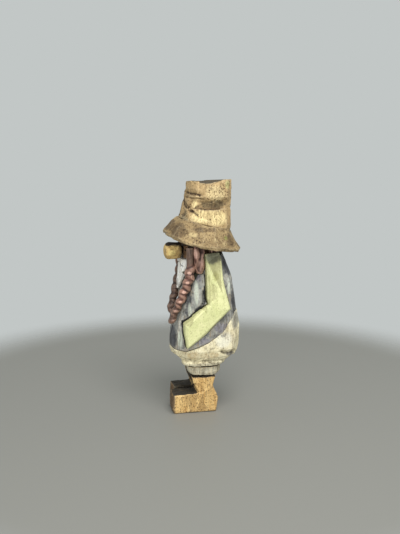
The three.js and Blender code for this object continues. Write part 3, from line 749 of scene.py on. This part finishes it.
# The pink dabs are painted highlights, and the dark brown dabs on the braids' inner sides painted shade.
hair_finish = carved_finish(
    "hair_red_brown_paint", wood=(srgb(224, 176, 152), srgb(172, 122, 104)),
    paint=(srgb(104, 68, 59), srgb(62, 42, 38)), cover=1.15, worn=1.0, stain=srgb(40, 24, 20), stained=1.1,
    speckle=0.3, rough=0.42, end=srgb(52, 36, 30), end_amount=0.4, shine=srgb(236, 196, 170), shining=0.6,
    dabs=(("painted_pink_highlight", srgb(234, 188, 170), 0.8), ("painted_inner_shade", srgb(66, 52, 46), 0.85),
          ("strand", srgb(88, 71, 60), 0.9)))
for side, name in SIDES:
    lock = block("hair_lock_" + name, FINE_SQUARE, chance=17 + side)
    whittle(lock, stroke=3.2, along=0.7, depth=0.2, tilt=7)
    swell(lock, (side * 13, -2.6, 82.4), 3.4, 0.6)
    swell(lock, (side * 13, -5.4, 89), 2.8, 0.5)
    score(lock, name, PARTING, 1.3, 0.8, slope=((0, 0.9, -0.3), 2.4), stain=0.5)
    score(lock, name, FINE_PARTING, 0.8, 0.35, stain=0.3)
    sand(lock, 12)
    # Painted pink highlights on the plump parts.
    dab(lock, "painted_pink_highlight", (side * 13, -3.2, 82), (4, 2.2, 4))
    dab(lock, "painted_pink_highlight", (side * 13, -2.2, 86), (4, 1.4, 3.0), 0.9)
    dab(lock, "painted_pink_highlight", (side * 13, -6, 88), (4, 1.4, 3.6), 0.9)
    # Painted shade under the brim.
    meets(lock, "hat_brim", reach=2.0, strength=0.7)
    meets(lock, "braid_" + name, reach=1.0, strength=0.6)
    finished(lock, name + "_lock_of_hair", hair_finish, "hair_lock_" + name)

# %% Carve the nape
nape = block("hair_nape", USUAL_SQUARE, chance=19)
for across in np.arange(-7.5, 7.6, 2.5):
    score(nape, "back", [(across, 92.5), (across * 0.9, 83.4)], 0.7, 0.5, stain=0.6)
# Painted shade between the brim and the coat.
meets(nape, "hat_brim", "coat", reach=4, strength=1.3)
finished(nape, "nape_of_hair", hair_finish, "hair_nape")

# %% [markdown]
# ## The braids
# A braid is the same lobe of hair again and again along a path, leaning left and right in turn. That is a
# rule, so Geometry Nodes make it: lobes are placed on points of the braid's centre line, turned to its
# direction and leaned to alternate sides, and a core runs through them. The result is remeshed like the other
# blocks, which grows the lobes together as if they were cut from one stick.

# %% The braid tree
# Millimetres, apart from the lean in radians, and the loose share and tip size as parts of one.
BRAID_SIZES = {"Lobe Length": 7.4, "Lobe Width": 5.0, "Lobe Depth": 5.6, "Lean": 0.7, "Side Step": 1.05,
               "Core Radius": 2.0, "Loose Share": 0.3, "Tip Size": 0.75}
LOBES = 11


def name_the_inputs(tree):
    """The tree's named inputs and its output."""
    face = tree.interface
    face.new_socket("Geometry", in_out="INPUT", socket_type="NodeSocketGeometry")
    for name, default in BRAID_SIZES.items():
        face.new_socket(name, in_out="INPUT", socket_type="NodeSocketFloat").default_value = default
    face.new_socket("Lobes", in_out="INPUT", socket_type="NodeSocketInt").default_value = LOBES
    face.new_socket("Outward", in_out="INPUT", socket_type="NodeSocketVector").default_value = (1, 0, 0)
    face.new_socket("Hair", in_out="INPUT", socket_type="NodeSocketMaterial")
    face.new_socket("Geometry", in_out="OUTPUT", socket_type="NodeSocketGeometry")


def adder(tree):
    """A function that adds a node to the tree, with its inputs and settings, and returns its outputs."""
    def add(kind, inputs=None, **settings):
        made = tree.nodes.new(kind)
        for key, value in settings.items():
            setattr(made, key, value)
        for key, value in (inputs or {}).items():
            if isinstance(value, bpy.types.NodeSocket):
                tree.links.new(value, made.inputs[key])
            else:
                made.inputs[key].default_value = value
        return made.outputs
    return add


def row_of_lobes(add, given):
    """Balls stretched to lobes along the plaited part of the curve, each leaning to the other side."""
    plaited = add("GeometryNodeTrimCurve", {"Curve": given["Geometry"], "Start": given["Loose Share"]})[0]
    points = add("GeometryNodeResampleCurve", {"Curve": plaited, "Count": given["Lobes"]})
    tangent = add("GeometryNodeInputTangent")[0]
    odd = add("ShaderNodeMath", {0: add("GeometryNodeInputIndex")[0], 1: 2.0}, operation="MODULO")[0]
    turn = add("ShaderNodeMath", {0: odd, 1: 2.0, 2: -1.0}, operation="MULTIPLY_ADD")[0]
    side = add("ShaderNodeVectorMath", {0: tangent, 1: given["Outward"]}, operation="CROSS_PRODUCT")[0]
    step = add("ShaderNodeMath", {0: turn, 1: given["Side Step"]}, operation="MULTIPLY")[0]
    offset = add("ShaderNodeVectorMath", {0: side, "Scale": step}, operation="SCALE")[0]
    ball = add("GeometryNodeMeshIcoSphere", {"Radius": 0.5, "Subdivisions": 4})[0]
    size = add("ShaderNodeCombineXYZ",
               {0: given["Lobe Depth"], 1: given["Lobe Width"], 2: given["Lobe Length"]})[0]
    lobe = add("GeometryNodeTransform", {"Geometry": ball, "Scale": size})[0]
    along = add("FunctionNodeAxesToRotation", {"Primary Axis": tangent, "Secondary Axis": given["Outward"]},
                primary_axis="Z", secondary_axis="X")[0]
    lean = add("ShaderNodeMath", {0: turn, 1: given["Lean"]}, operation="MULTIPLY")[0]
    leaned = add("FunctionNodeAxisAngleToRotation", {"Axis": (1, 0, 0), "Angle": lean})[0]
    turned = add("FunctionNodeRotateRotation", {"Rotation": along, "Rotate By": leaned},
                 rotation_space="LOCAL")[0]
    share = add("GeometryNodeSplineParameter")["Factor"]
    smaller = add("ShaderNodeMapRange", {"Value": share, "To Min": 1.0, "To Max": given["Tip Size"]})[0]
    placed = add("GeometryNodeInstanceOnPoints",
                 {"Points": points[0], "Instance": lobe, "Rotation": turned, "Scale": smaller})[0]
    return add("GeometryNodeTranslateInstances",
               {"Instances": placed, "Translation": offset, "Local Space": False})[0]


def core_of_braid(add, given):
    """A round stick along the whole curve, with closed ends."""
    ring = add("GeometryNodeCurvePrimitiveCircle", {"Radius": given["Core Radius"], "Resolution": 16})[0]
    return add("GeometryNodeCurveToMesh",
               {"Curve": given["Geometry"], "Profile Curve": ring, "Fill Caps": True})[0]


def braid_tree():
    """A node tree that turns a curve into a core with a row of lobes on it."""
    tree = bpy.data.node_groups.new("plaited_lobes", "GeometryNodeTree")
    name_the_inputs(tree)
    given = tree.nodes.new("NodeGroupInput").outputs
    add = adder(tree)
    joined = tree.nodes.new("GeometryNodeJoinGeometry")
    for part in (row_of_lobes(add, given), core_of_braid(add, given)):
        tree.links.new(part, joined.inputs[0])
    real = add("GeometryNodeRealizeInstances", {"Geometry": joined.outputs[0]})[0]
    painted = add("GeometryNodeSetMaterial", {"Geometry": real, "Material": given["Hair"]})[0]
    result = tree.nodes.new("NodeGroupOutput")
    tree.links.new(painted, result.inputs[0])
    return tree


plait = braid_tree()
print("braid tree has", len(plait.nodes), "nodes")

# %% [markdown]
# ## Cutting the braids from the tree
# The centre line is measured on the CAD braid: slices from top to bottom, and the middle of each slice. The
# tree's mesh is then whittled and sanded like the other blocks. The painted highlights lie along the same
# line, and the inner side is in painted shade.

# %% The braid's line and mesh
MEASURING_SQUARE = 0.3
# How far the first and the last slice lie from the braid's ends, and half a slice's thickness.
FROM_TOP, FROM_TIP, HALF_SLICE = 0.6, 1.6, 0.7


def middle_line(blank, slices=16):
    """The middle of the block at even heights, from its top to its bottom."""
    levels = blank.points[:, 2]
    line = []
    for height in np.linspace(levels.max() - FROM_TOP, levels.min() + FROM_TIP, slices):
        level = blank.points[abs(levels - height) < HALF_SLICE]
        line.append((level.min(0) + level.max(0)) / 2)
    return np.array(line)


def braid_curve(name, line):
    """A curve through the points of the centre line."""
    curve = bpy.data.curves.new(name, "CURVE")
    curve.dimensions = "3D"
    spline = curve.splines.new("POLY")
    spline.points.add(len(line) - 1)
    for point, spot in zip(spline.points, line):
        point.co = (*spot, 1)
    return curve


def grown(name, line, inputs):
    """The braid tree's mesh along a centre line, as a plain mesh in millimetres."""
    holder = bpy.data.objects.new(name, braid_curve(name, line))
    bpy.context.scene.collection.objects.link(holder)
    modifier = holder.modifiers.new("plait", "NODES")
    modifier.node_group = plait
    sockets = {s.name: s.identifier for s in plait.interface.items_tree if s.in_out == "INPUT"}
    for key, value in inputs.items():
        modifier[sockets[key]] = value
    return made_plain(holder)


# %% Carve the braids
for outward, name in SIDES:
    line = middle_line(block("braid_" + name, MEASURING_SQUARE))
    lobes = {"Outward": (outward, 0, 0), "Hair": hair_finish}
    braid = Blank(grown("braid_line_" + name, line, lobes), FINE_SQUARE, chance=23)
    whittle(braid, stroke=2.2, along=0.6, depth=0.12, tilt=5)
    sand(braid, 3)
    dab(braid, "strand", line[1], (8, 8, 9))
    # Painted pink highlights along the centre line, and painted shade on the braid's inner side.
    for spot in line[5::2]:
        dab(braid, "painted_pink_highlight", spot + (outward * 2.6, -0.6, 0), (1.8, 1.4, 1.0))
    dab(braid, "painted_inner_shade", (line.mean(0) - (outward * 3.4, 0, 0)), (5.0, 40, 60))
    # Painted shade under the brim.
    meets(braid, "hat_brim", reach=2.4, strength=0.8)
    meets(braid, "coat", reach=0.8, strength=0.6)
    finished(braid, name + "_braid", hair_finish, "braid_" + name)

# %% [markdown]
# ## Neckerchief and coat
# The coat is the biggest block and carries most of the colour: slate paint, thin enough to show the streaks
# of the wood, with a lilac touch on the chest and under the forearms, and pale worn facets here and there.
# Its darker grey patches are painted shade.
# The neckerchief is only a green wedge between the beard and the coat.

# %% Carve the neckerchief
scarf = block("neckerchief", FINE_SQUARE, chance=29)
whittle(scarf, stroke=2.4, along=0.8, depth=0.2, tilt=7)
for side in (1, -1):
    score(scarf, "front", [(side * 8, 76.4), (side * 3, 74.6), (0, 72.6)], 0.4, 0.4)
scarf_finish = carved_finish("scarf_green_paint", paint=(srgb(76, 78, 58), srgb(50, 52, 42)), cover=1.4,
                             worn=0.2, shining=0.15)
finished(scarf, "neckerchief_folded", scarf_finish, "neckerchief")

# %% Carve the coat
POCKET_EDGE = [(-13.4, 51.8), (-13.1, 45.4), (-11.5, 37.2)]
ABOVE_FOREARM = [(-13.2, 51), (-5.4, 58.4), (-1.6, 61.6), (-1.5, 64), (-1.4, 68), (-1.2, 71)]
BEFORE_UPPER_ARM = [(-1.7, 68.4), (-1.9, 65), (-2.1, 62.2)]
INSIDE_ELBOW = [(-2.4, 61.6), (-6.6, 58)]
CHEST_FOLD = [(-6.6, 74), (-7.6, 68), (-10, 62), (-12.8, 56)]
OPENING = [(0.6, 71), (0.2, 60), (0.9, 49), (0.5, 36)]
BACK_FOLDS = (([(-6, 80), (-7, 70), (-5, 60)], (1, 0, 0)), ([(5, 78), (6.5, 68), (4.6, 58)], (-1, 0, 0)))

coat = block("coat", WIDE_SQUARE, chance=31)
whittle(coat, stroke=5.6, along=0.5, depth=0.3, tilt=5)
for _, view in SIDES:
    score(coat, view, POCKET_EDGE, 0.5, 0.3, stain=0.8)
    score(coat, view, ABOVE_FOREARM, 0.6, 0.5, stain=0.9)
    score(coat, view, BEFORE_UPPER_ARM, 1.3, 0.7)
    score(coat, view, INSIDE_ELBOW, 0.9, 0.5)
    score(coat, view, CHEST_FOLD, 1.4, 0.3, slope=((0, 1, 0), 3.0), stain=0.3)
score(coat, "front", OPENING, 0.8, 0.5, slope=((1, 0, 0), 2.0), stain=0.7)
for fold, inwards in BACK_FOLDS:
    score(coat, "back", fold, 0.7, 0.4, slope=(inwards, 2.5), stain=0.4)
meets(coat, "arm_left", "arm_right", reach=0.6, strength=0.8)
meets(coat, "braid_left", "braid_right", reach=1.6, strength=0.8)
glue(coat, "trousers")
meets(coat, "trousers", reach=1.0, strength=0.2)
# Painted shade under the brim and the nape.
meets(coat, "hat_brim", "hair_nape", reach=4, strength=1.2)
# The dark grey dabs are painted shade on the belly, high on the back, beside the braid and under the forearm.
for side in (1, -1):
    dab(coat, "painted_shade_slate", (side * 4, -18.4, 42), (12, 4, 11))
    dab(coat, "painted_shade_slate", (side * 9, 13, 83), (8, 5.4, 9))
    dab(coat, "painted_shade_slate", (side * 9, 17, 62), (9, 5, 17), 0.8)
    dab(coat, "painted_shade_slate", (side * 12, -9.6, 60), (5, 2.4, 10), 0.6)
    dab(coat, "lilac", (side * 12, -4, 77), (5, 2.8, 5), 0.9)
    dab(coat, "lilac", (side * 16, -3, 41), (4, 7, 2.4))
    dab(coat, "lilac", (side * 16, 8, 48), (4, 6, 3.4))
    dab(coat, "painted_shade_slate", (side * 16, 4.6, 43.4), (4, 4.4, 2), 0.7)
    dab(coat, "pale", (side * 10, -13.6, 41), (3.4, 2, 7))
    dab(coat, "pale", (side * 12, -5.4, 67), (5, 1.5, 8), 0.9)
    dab(coat, "pale", (side * 12, -9, 57), (5, 1.2, 6), 0.7)
    dab(coat, "pale", (side * 11, 12.4, 70), (4, 1.2, 7), 0.7)
coat_finish = carved_finish(
    "coat_slate_paint", paint=(srgb(182, 180, 170), srgb(126, 128, 124)), cover=1.15, worn=0.25, streak=1.6,
    stain=srgb(40, 40, 42), stained=0.8, shine=srgb(214, 210, 196), shining=0.3,
    dabs=(("lilac", srgb(128, 124, 136), 0.75), ("painted_shade_slate", srgb(74, 75, 82), 0.9),
          ("pale", srgb(212, 218, 200), 0.8)))
finished(coat, "long_coat", coat_finish, "coat")

# %% [markdown]
# ## Sleeves
# The sleeves are the smoothest part of the figure: broad strokes, pale green-yellow paint. At the shoulder
# the green is darkened with grey as painted shade under the brim.

# %% Carve the sleeves
sleeve_finish = carved_finish(
    "sleeve_lime_paint", paint=(srgb(236, 234, 176), srgb(214, 216, 154)), cover=1.3, worn=0.2, stained=0.5,
    speckle=0.35, streak=0.5, end_amount=0.0, stain=srgb(96, 96, 66), shine=srgb(246, 244, 200), shining=0.3,
    dabs=(("olive", srgb(184, 182, 116), 0.8), ("shade", srgb(112, 112, 96), 0.9)))
for side, name in SIDES:
    sleeve = block("arm_" + name, SMALL_SQUARE, chance=37 + side)
    whittle(sleeve, stroke=8, along=0.5, depth=0.2, tilt=3)
    dab(sleeve, "olive", (side * 17, 4.4, 76.6), (8, 2.6, 3.4), 0.7)
    # Painted shade on the shoulder under the brim.
    dab(sleeve, "shade", (side * 15, 3.6, 87), (8, 6, 5.4))
    finished(sleeve, name + "_sleeve", sleeve_finish, "arm_" + name)

# %% [markdown]
# ## Trousers
# The trousers bulge over the turn-ups, and their cloth is gathered there in small upright folds. One deep
# fold lies low on each side of the seat.

# %% Carve the trousers
SEAT_FOLD = [(8.6, 33.6), (11, 32.5), (15.4, 32.6)]
GATHERING = [(-14, 30.6), (-8, 29.6), (0, 29.2), (7, 28.8), (12, 29)]

trousers = block("trousers", USUAL_SQUARE, chance=41)
whittle(trousers, stroke=4.4, along=0.6, depth=0.4, tilt=7)
for _, view in SIDES:
    score(trousers, view, SEAT_FOLD, 1.1, 1.1, slope=(UP, 2.6), stain=1.0)
    score(trousers, view, GATHERING, 0.9, 0.3, stain=0.3)
    for across in (-10, -5.6, -1.4, 2.6, 6.4, 9.6):
        score(trousers, view, [(across, 28.8), (across + 0.5, 25.6)], 0.8, 0.3, stain=0.2)
meets(trousers, "coat", reach=0.8, strength=0.3)
CLOTH_SHADE = srgb(104, 96, 80)
trouser_finish = carved_finish(
    "trousers_cream_paint", paint=(srgb(250, 240, 204), srgb(228, 214, 172)), cover=1.25, worn=0.25,
    stained=0.5, streak=1.5, speckle=0.5, stain=CLOTH_SHADE, shining=0.3, shine=srgb(252, 246, 220),
    dabs=(("tan", srgb(206, 174, 122), 0.75), ("pale", srgb(255, 250, 226), 0.9),
          ("haze", srgb(146, 146, 140), 0.8), ("painted_shade_slate", srgb(92, 88, 92), 0.9),
          ("shade", srgb(166, 160, 138), 0.7)))
for side in (1, -1):
    dab(trousers, "tan", (side * 15, -8.6, 33.6), (6, 8, 3.6), 0.5)
    dab(trousers, "tan", (side * 15, 2, 32.6), (6, 8, 2.4), 0.4)
    # Painted shade under the coat's hem and in the seat fold.
    dab(trousers, "painted_shade_slate", (side * 15, 8.6, 44.4), (6, 2.4, 2.4), 0.5)
    dab(trousers, "painted_shade_slate", (side * 14, 13.2, 32.6), (6, 3.8, 1.5))
    dab(trousers, "haze", (side * 12, 16.6, 51.6), (9, 4.6, 7), 0.9)
    dab(trousers, "pale", (side * 13, 9, 41), (8, 7, 6), 0.8)
    dab(trousers, "pale", (side * 7, -16.6, 36), (1.8, 1.4, 1.2))
    # Painted shade in a band just above the turn-ups.
    dab(trousers, "shade", (side * 12, -1, 27), (8, 16, 1.6))
finished(trousers, "baggy_trousers", trouser_finish, "trousers")

# %% [markdown]
# ## Turn-ups, legs and feet
# Legs and feet are one bare block each. The top of the foot is end grain and has gone dark. Painted shade
# darkens the inner faces between the legs, the fronts of the shins, the ankles under the turn-ups and the
# ends of the feet.

# %% Carve the turn-ups and the legs
cuff_finish = carved_finish(
    "cuff_grey_cream_paint", paint=(srgb(226, 218, 190), srgb(186, 179, 156)), cover=1.1, worn=0.3,
    stained=0.5, stain=CLOTH_SHADE, shining=0.3)
# The two dark dabs are painted shade.
leg_finish = carved_finish(
    "leg_wood_bare", wood=(srgb(250, 214, 146), srgb(190, 146, 84)), end=srgb(48, 42, 33), speckle=1.2,
    end_amount=1.0, stained=0.8, stain=srgb(44, 34, 26), shining=0.2,
    dabs=(("painted_foot_end_shade", srgb(98, 74, 54), 0.9), ("painted_leg_shade", srgb(40, 35, 30), 1.0)))
for side, name in SIDES:
    cuff = block("cuff_" + name, FINE_SQUARE, chance=43 + side)
    whittle(cuff, stroke=2.6, along=0.5, depth=0.25, tilt=8)
    for across in (-7.5, -4.5, -2, 1.5, 4.4, 7):
        score(cuff, name, [(across, 25.4), (across + 0.4, 19)], 0.8, 0.3, stain=0.3)
    finished(cuff, name + "_turn_up", cuff_finish, "cuff_" + name)
    leg = block("leg_" + name, SMALL_SQUARE, chance=47 + side)
    whittle(leg, stroke=3.8, along=0.7, depth=0.3, tilt=6)
    toe = leg.points[:, 1].min()
    for across in (-3.4, -0.8, 2.4):
        score(leg, "top", [(side * 7 + across, toe + 1.6), (side * 7 + across * 0.9, -9.4)], 0.5, 0.3)
    # Painted shade between the legs and under the turn-up.
    meets(leg, "leg_right" if side > 0 else "leg_left", reach=4, strength=1.1)
    meets(leg, "cuff_" + name, reach=1.4, strength=0.8)
    # Painted shade between the legs and on the fronts of the shins, and on the toe, the heel and the bottom
    # edge.
    dab(leg, "painted_leg_shade", (side * 0.6, -5, 12), (2.6, 30, 16))
    dab(leg, "painted_leg_shade", (side * 4.4, -7.6, 15.5), (9, 3.6, 9))
    dab(leg, "painted_foot_end_shade", (side * 7, toe - 0.4, 6), (24, 2.2, 24), 0.9)
    dab(leg, "painted_foot_end_shade", (side * 7, 7.8, 8), (24, 1.2, 24), 0.7)
    dab(leg, "painted_foot_end_shade", (side * 7, -5, -1), (24, 40, 2.4), 0.7)
    finished(leg, name + "_leg_and_foot", leg_finish, "leg_" + name)

# %% [markdown]
# ## The pegs
# The pegs that hold the blocks together are birch dowels. They are hidden, but they are part of the object.

# %% Paint the pegs
peg_finish = carved_finish("peg_wood_birch", wood=(srgb(222, 200, 160), srgb(196, 168, 124)), speckle=0.2)
for name in ("hat_peg", "neck_peg", "waist_peg", "arm_peg_left", "arm_peg_right"):
    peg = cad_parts[name]
    peg.data.materials.clear()
    peg.data.materials.append(peg_finish)
print("pegs painted like", peg_finish.name)

# %% [markdown]
# ## Studio
# The figure stands on a matt grey table whose edge fades into the grey of the room. One large soft light
# hangs above it, towards the camera, and a weaker one stands beside the camera; the room adds the rest.

# %% The table
TABLE_RADIUS = 250 * MM
TABLE_FADE = (150 * MM, 215 * MM)
TABLE_CORNERS = 96
table_mesh = bpy.data.meshes.new("table")
angles = np.linspace(0, 2 * math.pi, TABLE_CORNERS + 1)[:-1]
rim = [(TABLE_RADIUS * math.cos(a), TABLE_RADIUS * math.sin(a), 0) for a in angles]
table_mesh.from_pydata(rim, [], [tuple(range(len(rim)))])
table = bpy.data.objects.new("table", table_mesh)
bpy.context.scene.collection.objects.link(table)
table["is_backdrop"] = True

table_finish = bpy.data.materials.new("table_matt_grey")
table_finish.use_nodes = True
table_nodes = table_finish.node_tree
table_shader = table_nodes.nodes["Principled BSDF"]
table_place = Value(table_nodes, table_nodes.nodes.new("ShaderNodeTexCoord").outputs["Object"])
table_shader.inputs["Base Color"].default_value = (*srgb(134, 133, 127), 1)
table_shader.inputs["Roughness"].default_value = 0.6
away = table_place.node("ShaderNodeVectorMath", {0: table_place}, output=1, operation="LENGTH")
table_nodes.links.new((1 - away.between(*TABLE_FADE)).socket, table_shader.inputs["Alpha"])
table_mesh.materials.append(table_finish)
print("table", round(TABLE_RADIUS / MM), "mm in radius")

# %% Room and lights
scene = bpy.context.scene
scene.view_settings.view_transform = "Standard"
world = bpy.data.worlds.new("room")
scene.world = world
world.use_nodes = True
world.node_tree.nodes["Background"].inputs["Color"].default_value = (*srgb(194, 199, 198), 1)
world.node_tree.nodes["Background"].inputs["Strength"].default_value = 1.0


def soft_light(name, place, aim, size, watts):
    """A square light at a place in metres, turned towards its aim."""
    light = bpy.data.lights.new(name, "AREA")
    light.size = size
    light.energy = watts
    lamp = bpy.data.objects.new(name, light)
    lamp.location = place
    lamp.rotation_euler = (Vector(aim) - Vector(place)).to_track_quat("-Z", "Y").to_euler()
    scene.collection.objects.link(lamp)
    lamp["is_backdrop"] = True


soft_light("overhead_light", place=(0.3, 0.05, 0.6), aim=(0, 0, 0.06), size=0.35, watts=3.2)
soft_light("fill_light", place=(0.55, -0.25, 0.16), aim=(0, 0, 0.05), size=0.4, watts=1.2)
print("two lights")

# %% [markdown]
# ## Camera
# The camera looks at the figure's left side, from a little in front of it and a little above.

# %% The camera
AZIMUTH, DIP = math.radians(78), math.radians(11)
DISTANCE, HEIGHT, SIDEWAYS = 430 * MM, 162.2 * MM, -0.8 * MM
SENSOR_WIDTH, FOCAL_LENGTH = 36, 54.07
camera_data = bpy.data.cameras.new("camera")
camera_data.sensor_width = SENSOR_WIDTH
camera_data.lens = FOCAL_LENGTH
camera = bpy.data.objects.new("camera", camera_data)
away_from_figure = Vector((math.sin(AZIMUTH), -math.cos(AZIMUTH), 0))
to_the_right = Vector((math.cos(AZIMUTH), math.sin(AZIMUTH), 0))
foot = Vector(MIDDLE) + away_from_figure * DISTANCE + to_the_right * SIDEWAYS
camera.location = foot + Vector((0, 0, HEIGHT))
camera.rotation_euler = (math.radians(90) - DIP, 0, AZIMUTH)
scene.collection.objects.link(camera)
scene.camera = camera
print("camera at", [round(v, 3) for v in camera.location])

# %% [markdown]
# ## Sizes
# The sizes before and after are printed, so that the carving can be compared with the CAD model's box.

# %% Sizes and finish
carved_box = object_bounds()
growth = [[round((b - a) / MM, 2) for a, b in zip(*pair)] for pair in zip(cad_box, carved_box)]
print("grew by, in mm:", growth)
